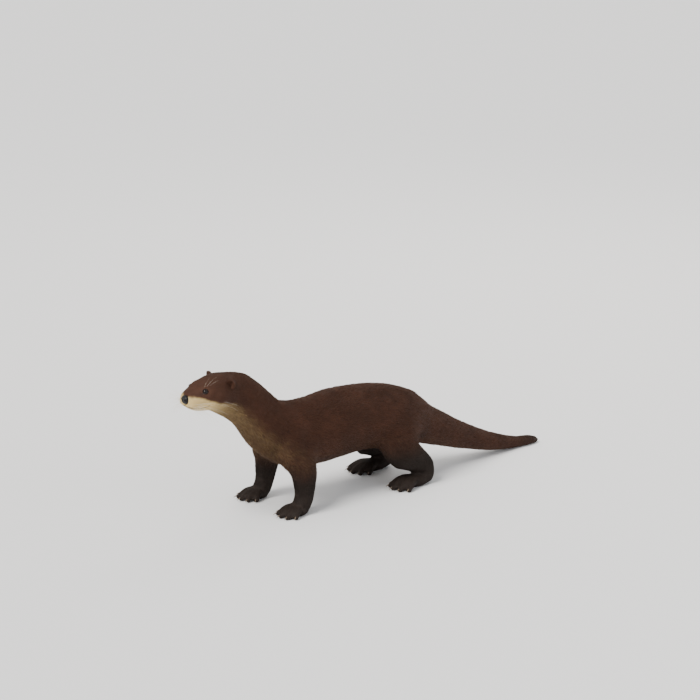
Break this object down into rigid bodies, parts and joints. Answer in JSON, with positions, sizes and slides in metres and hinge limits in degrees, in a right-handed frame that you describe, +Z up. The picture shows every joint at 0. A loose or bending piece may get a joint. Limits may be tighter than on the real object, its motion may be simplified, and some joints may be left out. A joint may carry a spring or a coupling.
{
  "type": "north american river otter, life-size still model",
  "caption": "River otter standing on all fours with its head raised, looking straight ahead, its thick tail sloping back to the floor. Still model with no joints.",
  "frame": {"origin": "on the floor, under the middle of the bounding box", "axes": "+Z up; the otter looks along -Y, its tail runs back along +Y, and its left side is +X"},
  "size_m": [0.232, 1.0301, 0.3393],
  "materials": {
    "fur": "dense dark reddish-brown fur, cream on the muzzle and lips",
    "dark_fur": "short grey-brown fur on the legs and feet",
    "nose_skin": "bare black pebbled skin, slightly damp",
    "eye": "wet dark brown eye",
    "claw": "horn, worn and slightly polished"
  },
  "bodies": {
    "root": {"head": "fur", "neck": "fur", "trunk": "fur", "tail_base": "fur", "tail_middle": "fur", "tail_tip": "fur", "ear_left": "fur", "ear_right": "fur", "upper_arm_left": "fur", "upper_arm_right": "fur", "thigh_left": "fur", "thigh_right": "fur", "forearm_left": "dark_fur", "forearm_right": "dark_fur", "forefoot_left": "dark_fur", "forefoot_right": "dark_fur", "shank_left": "dark_fur", "shank_right": "dark_fur", "hindfoot_left": "dark_fur", "hindfoot_right": "dark_fur", "nose": "nose_skin", "eye_left": "eye", "eye_right": "eye", "claw_fore_left_1": "claw", "claw_fore_left_2": "claw", "claw_fore_left_3": "claw", "claw_fore_left_4": "claw", "claw_fore_left_5": "claw", "claw_fore_right_1": "claw", "claw_fore_right_2": "claw", "claw_fore_right_3": "claw", "claw_fore_right_4": "claw", "claw_fore_right_5": "claw", "claw_hind_left_1": "claw", "claw_hind_left_2": "claw", "claw_hind_left_3": "claw", "claw_hind_left_4": "claw", "claw_hind_left_5": "claw", "claw_hind_right_1": "claw", "claw_hind_right_2": "claw", "claw_hind_right_3": "claw", "claw_hind_right_4": "claw", "claw_hind_right_5": "claw"}
  },
  "joints": []
}
